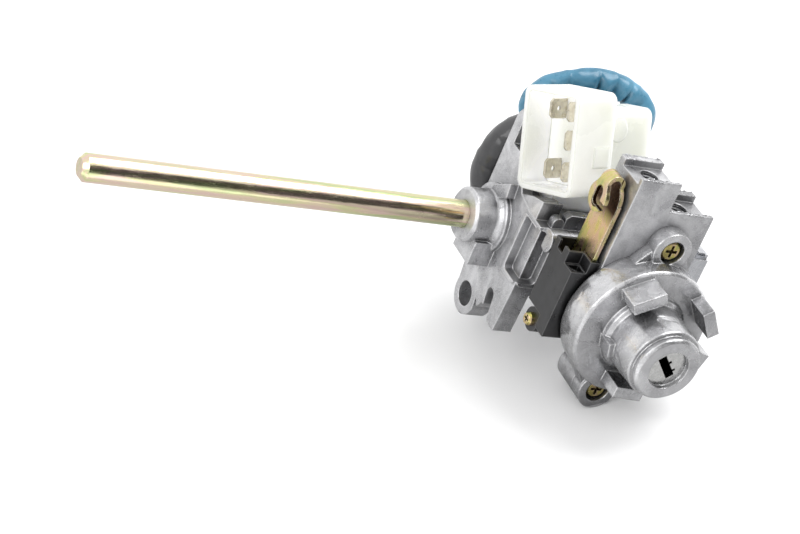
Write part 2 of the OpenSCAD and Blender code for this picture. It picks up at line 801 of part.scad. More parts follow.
module switch_block() {
    chamber_left = -mouth_w + chamber_y;
    color("whitesmoke") difference() {
        union() {
            in_switch() {
                slab_x(0, shroud_len) soft_rect([-mouth_w, 0], [0, mouth_h], mouth_r);
                slab_x(shroud_len - over, shroud_len + chamber_len) soft_rect([chamber_left, chamber_z],
                    [chamber_left + chamber_w, chamber_z + chamber_h], chamber_r);
                box([mark_at[0], -mouth_w - mark_h, mark_at[1]],
                    [mark_at[0] + mark_size[0], -mouth_w + over, mark_at[1] + mark_size[1]]);
                bar_y(chamber_left - mark_h, chamber_left + over, round_mark_d,
                    round_mark_at[0], round_mark_at[1]);
            }
            box([foot_x0, foot_y0, body_top], [foot_x1, body_rear - rear_wall_t, foot_top]);
            box([foot_x1 - over, foot_y0, body_top], [flange_x1, body_rear - rear_wall_t, body_top + flange_t]);
        }
        in_switch() slab_x(-over, mouth_depth) soft_rect([-mouth_w + mouth_wall, mouth_wall],
            [-mouth_wall, mouth_h - mouth_wall], mouth_r - mouth_wall);
        box([post_x0 - cavity_end, rod_y - carriage_w / 2 - slide_gap - cavity_side, body_top - over],
            [post_x1 + slider_travel + cavity_end, body_rear - rear_wall_t - cavity_wall, cavity_top]);
        for (y = switch_screw_y)
            bar_z(body_top - over, body_top + flange_t + over, switch_screw_d + 2 * pass_gap,
                switch_screw_x, y);
        blade_slots();
    }
}

module blade_slots() {
    for (p = blade_rows) blade_at(p) box([-blade_t / 2, -over, -blade_w / 2 + blade_cut],
        [blade_t / 2, blade_root, blade_w / 2 - blade_cut]);
}

// Frame of one blade: y runs into the switch from the floor of the mouth.
module blade_at(p) {
    in_switch() translate([mouth_depth, p[0], p[1]]) rotate([0, 0, -90]) children();
}

module blade_terminals() {
    half = blade_w / 2;
    color("lightgoldenrodyellow") for (p = blade_rows) blade_at(p) difference() {
        union() {
            slab_x(-blade_t / 2, blade_t / 2) polygon([[0, -half], [-blade_len + blade_cut, -half],
                [-blade_len, -half + blade_cut], [-blade_len, half - blade_cut],
                [-blade_len + blade_cut, half], [0, half]]);
            box([-blade_t / 2, -over, -half + blade_cut], [blade_t / 2, blade_root, half - blade_cut]);
        }
        bar_x(-blade_t, blade_t, blade_hole_d, -blade_len / 2);
    }
}

module contact_slide() {
    x = (post_x0 + post_x1) / 2;
    color("saddlebrown") difference() {
        box([x - carriage_l / 2, rod_y - carriage_w / 2, carriage_z],
            [x + carriage_l / 2, rod_y + carriage_w / 2, carriage_z + carriage_h]);
        box([post_x0, rod_y - post_w / 2, body_top], [post_x1, rod_y + post_w / 2, post_top]);
    }
}

module contact_bridge() {
    x = (post_x0 + post_x1) / 2;
    half_l = carriage_l / 2 - bridge_inset;
    half_w = carriage_w / 2 - bridge_inset;
    color("gold") difference() {
        box([x - half_l, rod_y - half_w, carriage_z + carriage_h],
            [x + half_l, rod_y + half_w, carriage_z + carriage_h + bridge_t]);
        box([post_x0, rod_y - post_w / 2, body_top], [post_x1, rod_y + post_w / 2, post_top + over]);
    }
}

module switch_screws() {
    color("silver") for (y = switch_screw_y)
        translate([switch_screw_x, y, body_top + flange_t]) rotate([180, 0, 0])
            screw(switch_screw_d, flange_t + switch_screw_depth - slide_gap, switch_head_d, switch_head_h);
}

module lever_guide() {
    slot_x0 = lever_x0 - slide_gap;
    color("dimgray") difference() {
        union() {
            box([guide_x0, guide_step_y, guide_rear_z0], [guide_x1, guide_y1, guide_z1]);
            box([guide_x0, guide_y0, guide_z0], [guide_x1, guide_step_y, guide_step_z]);
            box([slot_x0 - guide_wall, guide_y0, guide_step_z - over], [guide_x1, guide_step_y, guide_z1]);
            slab_x(guide_foot_x - guide_foot_t, guide_foot_x) {
                translate([guide_screw_y, guide_screw_z]) circle(d = guide_boss_d);
                translate([guide_step_y - over, guide_screw_z])
                    square([guide_boss_d / 2 + over, guide_rear_z0 - guide_screw_z + over]);
            }
        }
        box([slot_x0, lever_y0 - slide_gap, guide_floor_z],
            [lever_x1 + slide_gap, lever_y1 + slide_gap, guide_z1 + over]);
        box([guide_x0 + guide_wall, guide_step_y + guide_wall, guide_floor_z],
            [lever_x1, lever_y1 + slide_gap, guide_z1 + over]);
        difference() {
            box([guide_x0 + guide_wall, guide_y0 + guide_wall, guide_step_z - socket_depth],
                [slot_x0 - 1.5 * guide_wall, guide_step_y - guide_wall, guide_step_z + over]);
            translate([(guide_x0 + lever_x0) / 2, (guide_y0 + guide_step_y) / 2, 0]) rotate(-40)
                box([-guide_w, -guide_wall / 2, 0], [guide_w, guide_wall / 2, guide_step_z - guide_wall]);
        }
        box([guide_x0 - over, guide_step_y + guide_notch[0], guide_z1 - guide_notch[2]],
            [guide_x0 + guide_wall + over, guide_y1 - guide_notch[1], guide_z1 + over]);
        bar_x(guide_foot_x - guide_foot_t - over, guide_foot_x + over, guide_screw_d + 2 * slide_gap,
            guide_screw_y, guide_screw_z);
    }
}

module guide_screw() {
    color("gold") translate([guide_foot_x - guide_foot_t, guide_screw_y, guide_screw_z]) rotate([0, 90, 0])
        screw(guide_screw_d, guide_screw_len, guide_head_d, guide_head_h);
}

module cable_lever() {
    fold_z = lever_top - fold_r - lever_t;
    fold_x = lever_x0 - fold_r;
    top_r = lever_w / 2 - draft;
    leaf_z = fold_z - hook_drop;
    fold_y = hook_y - fold_w / 2;
    color("goldenrod") difference() {
        union() {
            slab_x(lever_x0, lever_x1) {
                translate([lever_y0, lever_bottom]) square([lever_w, fold_z - top_r - lever_bottom]);
                translate([lever_y0 + lever_w / 2, fold_z - top_r]) circle(top_r);
                translate([fold_y, fold_z - top_r]) square([fold_w, top_r]);
            }
            translate([fold_x, fold_y + fold_w, fold_z]) rotate([90, 0, 0]) linear_extrude(fold_w)
                intersection() {
                    difference() {
                        circle(fold_r + lever_t);
                        circle(fold_r);
                    }
                    translate([-lever_w, 0]) square([2 * lever_w, lever_w]);
                }
            slab_x(ear_x0, ear_x0 + lever_t) {
                translate([hook_y, leaf_z]) circle(leaf_r);
                polygon([[fold_y, fold_z], [fold_y + fold_w, fold_z], [hook_y + leaf_r - draft, leaf_z + over],
                    [hook_y - leaf_r + draft, leaf_z + over]]);
            }
            box([guide_x0 + guide_wall + slide_gap, lever_spring_y - lever_foot_w / 2, lever_foot_z],
                [lever_x1, lever_spring_y + lever_foot_w / 2, lever_foot_z + lever_t]);
        }
        slab_x(ear_x0 - over, ear_x0 + lever_t + over) translate([hook_y, leaf_z]) {
            for (z = [-hook_hole_r / 2, hook_hole_r]) translate([0, z]) circle(hook_hole_r);
            translate([-hook_hole_r, -hook_hole_r / 2]) square([2 * hook_hole_r, 1.5 * hook_hole_r]);
            translate([-2 * leaf_r, -1.4 * hook_hole_r]) square([2 * leaf_r, hook_gap]);
        }
    }
}

module lever_spring() {
    color("lightgray") translate([lever_spring_x, lever_spring_y, guide_floor_z + seat_gap])
        spring(lever_spring_d, lever_wire_d, lever_foot_z - guide_floor_z - 2 * seat_gap, 6);
}

module side_clip() {
    top = clip_z + clip_h;
    color("lightsteelblue") translate([low_right, disc_t, 0]) {
        box([0, clip_t, clip_z], [clip_t, clip_side_len, top]);
        box([0, 0, clip_z], [clip_w, clip_t, top - clip_t / 2]);
        box([clip_w - clip_t, clip_t, clip_z + clip_t], [clip_w, clip_lip_len, top + clip_t]);
        box([clip_w - clip_lip_w, 2 * clip_t, top], [clip_w - clip_t, clip_lip_len, top + clip_t]);
    }
}

// Route points of the two leads behind the rear wall, chosen by hand. Both ends meet the wall.
grey_route = [[-16, 4, -5], [-19, 7.5, -3], [-22.5, 9, 4], [-23, 9.5, 11], [-21, 9, 18.5],
    [-17, 7.5, 24], [-15, 4, 25]];
blue_route = [[-1, 3, 19], [-2.5, 10, 19.5], [-7, 17, 21], [-11.5, 20, 27], [-9.5, 20, 34], [-2, 18, 39],
    [8, 16, 41.5], [18, 13, 40.5], [25, 10, 35.5], [24, 8.5, 28], [16, 7, 22.5], [9, 3, 21]];

// Path from the rear wall along a route and back to the wall.
function lead_path(r) = let (last = len(r) - 1)
    [for (q = concat([[r[0][0], 0, r[0][2]]], smooth_route(r, 2), [[r[last][0], 0, r[last][2]]]))
        q + [0, body_rear, 0]];

// Point of a smooth curve through the points of a route, at t from 0 to 1 of span i.
function route_point(r, i, t) =
    let (n = len(r) - 1, a = r[max(i - 1, 0)], b = r[i], c = r[min(i + 1, n)], d = r[min(i + 2, n)])
        0.5 * (2 * b + (c - a) * t + (2 * a - 5 * b + 4 * c - d) * t * t + (3 * b - a - 3 * c + d) * t * t * t);

function smooth_route(r, k) = concat([for (i = [0 : len(r) - 2], j = [0 : k - 1]) route_point(r, i, j / k)],
    [r[len(r) - 1]]);

function unit(v) = v / norm(v);

function tangent(p, i) = unit(p[min(i + 1, len(p) - 1)] - p[max(i - 1, 0)]);

// Cross vector at point i of a route, carried on from the point before so that the tube doesn't twist.
function carried(u, t) = unit(u - t * (u * t));

function cross_vectors(p, i = 0, u = [0.2, 0.3, 1]) = i == len(p) ? []
    : let (w = carried(u, tangent(p, i))) concat([w], cross_vectors(p, i + 1, w));

// Rings of points round a route, with the given diameter and side offset.
function rings(p, d, sides, shift) = let (u = cross_vectors(p)) [for (i = [0 : len(p) - 1])
    let (v = cross(tangent(p, i), u[i])) for (k = [0 : sides - 1])
        p[i] + u[i] * (d / 2 * cos(k * 360 / sides) + shift) + v * (d / 2 * sin(k * 360 / sides))];

// Triangles of a tube's wall whose first point has the given index.
function wall_faces(n, sides, first) = [for (i = [0 : n - 2], k = [0 : sides - 1])
    let (a = first + i * sides + k, b = first + i * sides + (k + 1) % sides)
        each [[a, a + sides, b], [b, a + sides, b + sides]]];

function flipped(faces) = [for (f = faces) [f[2], f[1], f[0]]];

// Round solid swept along the points p.
module sweep(p, d, sides, shift = 0) {
    last = (len(p) - 1) * sides;
    polyhedron(rings(p, d, sides, shift), concat(wall_faces(len(p), sides, 0),
        [[for (k = [0 : sides - 1]) k]], [[for (k = [sides - 1 : -1 : 0]) last + k]]));
}

// Hollow round tube swept along the points p.
module tube(p, d, wall, sides) {
    n = len(p);
    inner = n * sides;
    last = (n - 1) * sides;
    ends = [for (k = [0 : sides - 1]) let (k2 = (k + 1) % sides)
        each [[k, k2, inner + k], [k2, inner + k2, inner + k],
            [last + k, inner + last + k, last + k2], [last + k2, inner + last + k, inner + last + k2]]];
    polyhedron(concat(rings(p, d, sides, 0), rings(p, d - 2 * wall, sides, 0)),
        concat(wall_faces(n, sides, 0), flipped(wall_faces(n, sides, inner)), ends));
}

module sleeve(route, d) {
    tube(lead_path(route), d, sleeve_wall, 12);
}

module grey_sleeve() {
    color("dimgray") sleeve(grey_route, grey_d);
}

module blue_sleeve() {
    color("steelblue") sleeve(blue_route, blue_d);
}

module lead_wires() {
    color("black") for (r = [grey_route, blue_route], s = [-wire_shift, wire_shift])
        sweep(lead_path(r), wire_d, 8, s);
}

lock_housing();
cylinder_cover();
cover_screws();
key_plug();
wafer_tumblers();
cam_shaft();
lock_slider();
lock_rod();
rod_pin();
lock_spring();
slider_cap();
cap_screws();
switch_block();
blade_terminals();
contact_slide();
contact_bridge();
switch_screws();
lever_guide();
guide_screw();
cable_lever();
lever_spring();
side_clip();
grey_sleeve();
blue_sleeve();
lead_wires();
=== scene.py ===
import math

import bpy
from mathutils import Matrix, Vector, noise


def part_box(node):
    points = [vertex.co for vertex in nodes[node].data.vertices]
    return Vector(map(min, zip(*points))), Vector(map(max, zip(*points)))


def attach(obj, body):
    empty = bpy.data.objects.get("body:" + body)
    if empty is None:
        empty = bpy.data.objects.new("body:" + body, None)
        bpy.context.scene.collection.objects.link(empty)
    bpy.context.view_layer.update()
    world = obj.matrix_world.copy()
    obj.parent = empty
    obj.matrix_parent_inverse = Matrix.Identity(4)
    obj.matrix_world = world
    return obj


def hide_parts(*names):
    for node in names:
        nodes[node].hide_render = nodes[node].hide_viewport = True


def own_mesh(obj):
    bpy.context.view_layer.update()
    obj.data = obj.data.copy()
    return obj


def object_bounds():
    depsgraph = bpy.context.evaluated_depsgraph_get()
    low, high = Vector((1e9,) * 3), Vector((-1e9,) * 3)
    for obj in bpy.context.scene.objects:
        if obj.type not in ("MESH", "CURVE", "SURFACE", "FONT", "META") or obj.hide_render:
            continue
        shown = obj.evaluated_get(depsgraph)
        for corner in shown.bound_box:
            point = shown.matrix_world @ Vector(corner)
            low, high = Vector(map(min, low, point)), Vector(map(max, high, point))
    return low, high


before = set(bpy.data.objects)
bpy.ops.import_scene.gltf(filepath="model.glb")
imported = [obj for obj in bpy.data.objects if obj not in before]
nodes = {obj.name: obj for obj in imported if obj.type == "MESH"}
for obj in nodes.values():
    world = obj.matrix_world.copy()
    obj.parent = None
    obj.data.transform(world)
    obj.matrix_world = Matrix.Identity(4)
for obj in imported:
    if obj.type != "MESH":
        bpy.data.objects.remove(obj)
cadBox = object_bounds()
scene = bpy.context.scene
print("frame loaded:", len(nodes), "nodes")


def mm(x, y, z):
    return Vector((x, y, z)) / 1000


def placed(name, data):
    item = bpy.data.objects.new(name, data)
    scene.collection.objects.link(item)
    return item


# camera of the photograph

cameraLook = {
    "place": (-0.4100, -0.4874, 0.3213), "right": (0.8707, -0.3498, 0.3458), "up": (-0.0933, 0.5728, 0.8144),
    "lens": 102.33, "sensor": 36, "near": 0.01, "far": 20,
}


def makeCamera(look):
    camera = bpy.data.cameras.new("photoCamera")
    camera.sensor_width = look["sensor"]
    camera.lens = look["lens"]
    camera.clip_start, camera.clip_end = look["near"], look["far"]
    cameraObject = placed("photoCamera", camera)
    right, up = Vector(look["right"]).normalized(), Vector(look["up"]).normalized()
    turn = Matrix((right, up, right.cross(up))).transposed().to_4x4()
    turn.translation = look["place"]
    cameraObject.matrix_world = turn
    scene.camera = cameraObject


makeCamera(cameraLook)
print("camera set")


# small helpers for node trees

colorMix = {"inputs": (0, 6, 7), "output": 2}     # the mix node's factor, both colours and result


def addNode(tree, kind, settings=None, **inputs):
    node = tree.nodes.new(kind)
    for name, value in (settings or {}).items():
        setattr(node, name, value)
    for name, value in inputs.items():
        node.inputs[name.replace("_", " ")].default_value = value
    return node


def join(tree, source, target):
    tree.links.new(source, target)


# a number, a colour or another node's output
def feed(tree, value, socket):
    if isinstance(value, (int, float)):
        socket.default_value = value
    elif isinstance(value, tuple):
        socket.default_value = (*value, 1)
    else:
        join(tree, value, socket)


def mathNode(tree, operation, *values):
    node = addNode(tree, "ShaderNodeMath", {"operation": operation})
    for socket, value in zip(node.inputs, values):
        feed(tree, value, socket)
    return node.outputs[0]


def mixColor(tree, factor, under, over):
    node = addNode(tree, "ShaderNodeMix", {"data_type": "RGBA"})
    for index, value in zip(colorMix["inputs"], (factor, under, over)):
        feed(tree, value, node.inputs[index])
    return node.outputs[colorMix["output"]]


def layer(tree, mask, share, under, over):
    return mixColor(tree, mathNode(tree, "MULTIPLY", mask, share), under, over)


def spread(tree, value, low, high, toLow=0.0, toHigh=1.0):
    node = addNode(tree, "ShaderNodeMapRange", From_Min=low, From_Max=high, To_Min=toLow, To_Max=toHigh)
    join(tree, value, node.inputs["Value"])
    return node.outputs["Result"]


def rampNode(tree, value, stops):
    node = addNode(tree, "ShaderNodeValToRGB")
    elements = node.color_ramp.elements
    while len(elements) < len(stops):
        elements.new(0.5)
    for element, (place, color) in zip(elements, stops):
        element.position = place
        element.color = (*color, 1)
    join(tree, value, node.inputs["Fac"])
    return node.outputs["Color"]


def objectPoint(tree):
    return addNode(tree, "ShaderNodeTexCoord").outputs["Object"]


def noiseNode(tree, vector, scale, detail, roughness, distortion=0.0):
    node = addNode(tree, "ShaderNodeTexNoise", Detail=detail, Roughness=roughness, Distortion=distortion)
    join(tree, vector, node.inputs["Vector"])
    feed(tree, scale, node.inputs["Scale"])
    return node.outputs["Fac"]


def newGroup(name, inputs, outputs):
    group = bpy.data.node_groups.new(name, "ShaderNodeTree")
    for socketName, kind, value in inputs:
        socket = group.interface.new_socket(name=socketName, in_out="INPUT", socket_type=kind)
        socket.default_value = value
    for socketName, kind in outputs:
        group.interface.new_socket(name=socketName, in_out="OUTPUT", socket_type=kind)
    return group, addNode(group, "NodeGroupInput"), addNode(group, "NodeGroupOutput")


def useGroup(tree, group, **inputs):
    node = addNode(tree, "ShaderNodeGroup", {"node_tree": group})
    for name, value in inputs.items():
        node.inputs[name].default_value = value
    return node


# shared surface effects; a noise is scale, detail, roughness and distortion, a band is low and high

edgeLook = {"radius": 0.0004, "samples": 6, "band": (0.995, 0.80)}


# mask of the edges, which the materials use for painted edge highlights and painted rims, and the bevelled
# normal
def edgeGroup(look):
    group, ins, outs = newGroup("softEdge", [("Radius", "NodeSocketFloat", look["radius"])],
                                [("Mask", "NodeSocketFloat"), ("Normal", "NodeSocketVector")])
    bevel = addNode(group, "ShaderNodeBevel", {"samples": look["samples"]})
    join(group, ins.outputs["Radius"], bevel.inputs["Radius"])
    plain = addNode(group, "ShaderNodeNewGeometry")
    dot = addNode(group, "ShaderNodeVectorMath", {"operation": "DOT_PRODUCT"})
    join(group, bevel.outputs["Normal"], dot.inputs[0])
    join(group, plain.outputs["Normal"], dot.inputs[1])
    join(group, spread(group, dot.outputs["Value"], *look["band"]), outs.inputs["Mask"])
    join(group, bevel.outputs["Normal"], outs.inputs["Normal"])
    return group


cornerLook = {
    "cornerShade": {"reach": 0.004, "samples": 6, "ownForm": False, "band": (0.85, 0.30)},
    "hollowShade": {"reach": 0.004, "samples": 6, "ownForm": True, "band": (0.85, 0.52)},
}


def cornerGroup(name, look):
    group, ins, outs = newGroup(name, [("Reach", "NodeSocketFloat", look["reach"])],
                                [("Mask", "NodeSocketFloat")])
    shade = addNode(group, "ShaderNodeAmbientOcclusion",
                    {"samples": look["samples"], "only_local": look["ownForm"]})
    join(group, ins.outputs["Reach"], shade.inputs["Distance"])
    join(group, spread(group, shade.outputs["AO"], *look["band"]), outs.inputs["Mask"])
    return group


castSkinLook = {
    "swell": (170.0, 2.0, 0.5, 0.4),
    "flowScale": 90.0, "flow": (5.0, 0.6, 0.8), "flowBand": (0.32, 0.68),
    "smoke": (46.0, 5.0, 0.6, 0.6), "smokeBand": (0.46, 0.70),
    "speck": (2600.0, 2.0, 0.6), "speckBand": (0.46, 0.68),
    "grain": (1500.0, 3.0, 0.7), "grainShare": 0.6,
    "pitScale": 420.0, "pitBand": (0.0, 0.16), "pitShare": 0.4,
}


def castGroup(look):
    parts = ("Tone", "Smoke", "Speck", "Height", "Swell")
    group, ins, outs = newGroup("castSkin", [("Flow", "NodeSocketFloat", look["flowScale"])],
                                [(part, "NodeSocketFloat") for part in parts])
    point = objectPoint(group)
    join(group, noiseNode(group, point, *look["swell"]), outs.inputs["Swell"])
    flow = noiseNode(group, point, ins.outputs["Flow"], *look["flow"])
    join(group, spread(group, flow, *look["flowBand"]), outs.inputs["Tone"])
    smoke = noiseNode(group, point, *look["smoke"])
    join(group, spread(group, smoke, *look["smokeBand"]), outs.inputs["Smoke"])
    speck = noiseNode(group, point, *look["speck"])
    join(group, spread(group, speck, *look["speckBand"]), outs.inputs["Speck"])
    grain = noiseNode(group, point, *look["grain"])
    pits = addNode(group, "ShaderNodeTexVoronoi", Scale=look["pitScale"])
    join(group, point, pits.inputs["Vector"])
    pit = spread(group, pits.outputs["Distance"], *look["pitBand"])
    height = mathNode(group, "ADD", mathNode(group, "MULTIPLY", grain, look["grainShare"]),
                      mathNode(group, "MULTIPLY", pit, look["pitShare"]))
    join(group, height, outs.inputs["Height"])
    return group


filmSkinLook = {
    "stretch": (60.0, 60.0, 60.0), "scratch": (700.0, 700.0, 700.0), "depth": 0.5,
    "drift": (1.0, 3.0, 0.5, 1.2), "tone": (1.0, 4.0, 0.6),
    "pale": [(0.28, (0.84, 0.80, 0.56)), (0.40, (0.92, 0.82, 0.66)), (0.47, (0.92, 0.70, 0.64)),
             (0.54, (0.90, 0.82, 0.58)), (0.62, (0.70, 0.82, 0.46)), (0.72, (0.88, 0.72, 0.66))],
    "deep": [(0.30, (0.46, 0.38, 0.14)), (0.40, (0.66, 0.56, 0.20)), (0.47, (0.74, 0.52, 0.36)),
             (0.54, (0.66, 0.57, 0.17)), (0.62, (0.44, 0.47, 0.15)), (0.72, (0.64, 0.38, 0.32))],
}


def filmGroup(look):
    group, ins, outs = newGroup("passivationFilm",
                                [("Stretch", "NodeSocketVector", look["stretch"]),
                                 ("Scratch", "NodeSocketVector", look["scratch"]),
                                 ("Depth", "NodeSocketFloat", look["depth"])],
                                [("Color", "NodeSocketColor"), ("Tone", "NodeSocketFloat")])
    point = objectPoint(group)
    wide = addNode(group, "ShaderNodeVectorMath", {"operation": "MULTIPLY"})
    fine = addNode(group, "ShaderNodeVectorMath", {"operation": "MULTIPLY"})
    for node, name in ((wide, "Stretch"), (fine, "Scratch")):
        join(group, point, node.inputs[0])
        join(group, ins.outputs[name], node.inputs[1])
    drift = noiseNode(group, wide.outputs[0], *look["drift"])
    pale = rampNode(group, drift, look["pale"])
    deep = rampNode(group, drift, look["deep"])
    join(group, mixColor(group, ins.outputs["Depth"], pale, deep), outs.inputs["Color"])
    join(group, noiseNode(group, fine.outputs[0], *look["tone"]), outs.inputs["Tone"])
    return group


softEdge = edgeGroup(edgeLook)
cornerShade = cornerGroup("cornerShade", cornerLook["cornerShade"])
hollowShade = cornerGroup("hollowShade", cornerLook["hollowShade"])
castSkin = castGroup(castSkinLook)
passivationFilm = filmGroup(filmSkinLook)
print("surface effects ready")


# materials

toneBand = (0.3, 0.7)     # the middle of a noise, where most of it lies
wholeBand = (0.0, 1.0)


def newMaterial(name):
    material = bpy.data.materials.new(name)
    material.use_nodes = True
    tree = material.node_tree
    bsdf = next(n for n in tree.nodes if n.type == "BSDF_PRINCIPLED")
    return material, tree, bsdf


def finishNormal(tree, bsdf, height, strength, depth, under=None):
    bump = addNode(tree, "ShaderNodeBump", Strength=strength, Distance=depth)
    join(tree, height, bump.inputs["Height"])
    if under:
        join(tree, under.outputs["Normal"], bump.inputs["Normal"])
    join(tree, bump.outputs["Normal"], bsdf.inputs["Normal"])


def finishColor(tree, bsdf, color, tone, band, rough):
    join(tree, color, bsdf.inputs["Base Color"])
    join(tree, spread(tree, tone, *band, *rough), bsdf.inputs["Roughness"])


# shares of the smoky streaks, the painted corner shade and the painted edge highlight, and the grain's depth
castShadeAndWear = {"smokeShare": 0.5, "cornerShare": 0.8, "edgeShare": 0.6, "grainDepth": 0.00008}
# smoke is the colour of the smoky streaks and of the painted corner shade; edge is the colour of the light
# specks and of the painted edge highlight
castLook = {
    "housing": {"dark": (0.44, 0.44, 0.455), "light": (0.73, 0.73, 0.745), "smoke": (0.09, 0.09, 0.095),
                "edge": (0.93, 0.93, 0.94), "rough": (0.24, 0.42), "grain": 0.7, "edgeRadius": 0.0007,
                "flow": 150.0, "metal": 0.80, "speck": 0.42, "swell": 0.0004, "reach": 0.020},
    "cover": {"dark": (0.50, 0.50, 0.515), "light": (0.79, 0.79, 0.805), "smoke": (0.12, 0.12, 0.125),
              "edge": (0.93, 0.93, 0.94), "rough": (0.18, 0.33), "grain": 0.5, "edgeRadius": 0.0008,
              "flow": 100.0, "metal": 0.84, "speck": 0.40, "swell": 0.0005, "reach": 0.012},
}


def castMaterial(name, look):
    material, tree, bsdf = newMaterial(name)
    skin = useGroup(tree, castSkin, Flow=look["flow"]).outputs
    edge = useGroup(tree, softEdge, Radius=look["edgeRadius"])
    corner = useGroup(tree, cornerShade, Reach=look["reach"])
    body = mixColor(tree, skin["Tone"], look["dark"], look["light"])
    smoky = layer(tree, skin["Smoke"], castShadeAndWear["smokeShare"], body, look["smoke"])
    specked = layer(tree, skin["Speck"], look["speck"], smoky, look["edge"])
    # painted shade: corners and places next to other parts darkened towards the smoke colour
    shaded = layer(tree, corner.outputs["Mask"], castShadeAndWear["cornerShare"], specked, look["smoke"])
    # painted highlight on the edges, partly edge wear
    paintedEdge = layer(tree, edge.outputs["Mask"], castShadeAndWear["edgeShare"], shaded, look["edge"])
    finishColor(tree, bsdf, paintedEdge, skin["Tone"], wholeBand, look["rough"])
    bsdf.inputs["Metallic"].default_value = look["metal"]
    swell = addNode(tree, "ShaderNodeBump", Strength=1.0, Distance=look["swell"])
    join(tree, skin["Swell"], swell.inputs["Height"])
    join(tree, edge.outputs["Normal"], swell.inputs["Normal"])
    finishNormal(tree, bsdf, skin["Height"], look["grain"], castShadeAndWear["grainDepth"], swell)
    return material


# shares of the painted shade in hollows and of the painted edge highlight, and the scratches' depth
filmShadeAndWear = {"hollowShare": 0.9, "edgeShare": 0.6, "scratchDepth": 0.00004}
# corner is the colour of the painted shade in hollows; edge the colour of the painted edge highlight
filmLook = {
    "rod": {"rough": (0.07, 0.30), "edgeRadius": 0.0002, "edge": (0.95, 0.91, 0.78),
            "stretch": (16.0, 210.0, 210.0), "scratch": (150.0, 1300.0, 1300.0), "depth": 0.26,
            "bump": 0.85, "reach": 0.0015, "corner": (0.30, 0.24, 0.14)},
    "lever": {"rough": (0.24, 0.34), "edgeRadius": 0.0004, "edge": (0.96, 0.90, 0.70),
              "stretch": (70.0, 110.0, 45.0), "scratch": (700.0, 900.0, 500.0), "depth": 0.80,
              "bump": 0.015, "reach": 0.002, "corner": (0.055, 0.026, 0.012)},
    "screw": {"rough": (0.22, 0.38), "edgeRadius": 0.0003, "edge": (0.86, 0.76, 0.50),
              "stretch": (170.0, 170.0, 170.0), "scratch": (900.0, 900.0, 900.0), "depth": 1.0,
              "bump": 0.12, "reach": 0.002, "corner": (0.10, 0.062, 0.03)},
}
# where the lever's painted hook shadow lies
leverHookShadow = {"holeIn": 0.0055, "holeDrop": 0.00875, "holeHalf": 0.0014, "holeRadius": 0.0019,
               "slotDrop": 0.01036, "slotHalf": 0.00105, "strip": 0.0014, "leafDrop": 0.0142,
               "soft": 0.00025, "fade": 0.0025}


# mask of painted shadow in the hook's hole and slot, and on the strip behind them
def hookShadowMask(tree, look, low, high):
    parts = addNode(tree, "ShaderNodeSeparateXYZ")
    join(tree, objectPoint(tree), parts.inputs[0])
    x, y, z = parts.outputs
    stripX, leafZ = high[0] - look["strip"], high[2] - look["leafDrop"]
    front = mathNode(tree, "LESS_THAN", x, stripX - look["soft"])
    face = mathNode(tree, "LESS_THAN", x, stripX + look["soft"])
    dy = mathNode(tree, "SUBTRACT", y, low[1] + look["holeIn"])
    dz = mathNode(tree, "ABSOLUTE", mathNode(tree, "SUBTRACT", z, high[2] - look["holeDrop"]))
    past = mathNode(tree, "MAXIMUM", mathNode(tree, "SUBTRACT", dz, look["holeHalf"]), 0.0)
    reach = mathNode(tree, "SQRT", mathNode(tree, "ADD", mathNode(tree, "POWER", dy, 2.0),
                                            mathNode(tree, "POWER", past, 2.0)))
    hole = mathNode(tree, "LESS_THAN", reach, look["holeRadius"] + look["soft"])
    slotZ = mathNode(tree, "ABSOLUTE", mathNode(tree, "SUBTRACT", z, high[2] - look["slotDrop"]))
    slot = mathNode(tree, "MULTIPLY", mathNode(tree, "LESS_THAN", slotZ, look["slotHalf"] + look["soft"]),
                    mathNode(tree, "LESS_THAN", dy, 0.0))
    cut = mathNode(tree, "MULTIPLY", front, mathNode(tree, "MAXIMUM", hole, slot))
    rise = spread(tree, z, leafZ - look["fade"], leafZ + look["fade"])
    behind = mathNode(tree, "MULTIPLY", mathNode(tree, "SUBTRACT", face, front), rise)
    return mathNode(tree, "MAXIMUM", cut, behind)


def filmMaterial(name, look, hollowBox=None):
    material, tree, bsdf = newMaterial(name)
    film = useGroup(tree, passivationFilm, Stretch=look["stretch"], Scratch=look["scratch"],
                    Depth=look["depth"]).outputs
    edge = useGroup(tree, softEdge, Radius=look["edgeRadius"])
    hollow = useGroup(tree, hollowShade, Reach=look["reach"])
    # painted shade: hollows, the hook's hole and slot and the strip behind the leaf darkened towards the
    # corner colour
    shade = mathNode(tree, "MULTIPLY", hollow.outputs["Mask"], filmShadeAndWear["hollowShare"])
    if hollowBox:
        shade = mathNode(tree, "MAXIMUM", shade, hookShadowMask(tree, leverHookShadow, *hollowBox))
    shaded = mixColor(tree, shade, film["Color"], look["corner"])
    # painted highlight on the edges, partly edge wear
    paintedEdge = layer(tree, edge.outputs["Mask"], filmShadeAndWear["edgeShare"], shaded, look["edge"])
    finishColor(tree, bsdf, paintedEdge, film["Tone"], toneBand, look["rough"])
    bsdf.inputs["Metallic"].default_value = 1.0
    finishNormal(tree, bsdf, film["Tone"], look["bump"], filmShadeAndWear["scratchDepth"], edge)
    return material


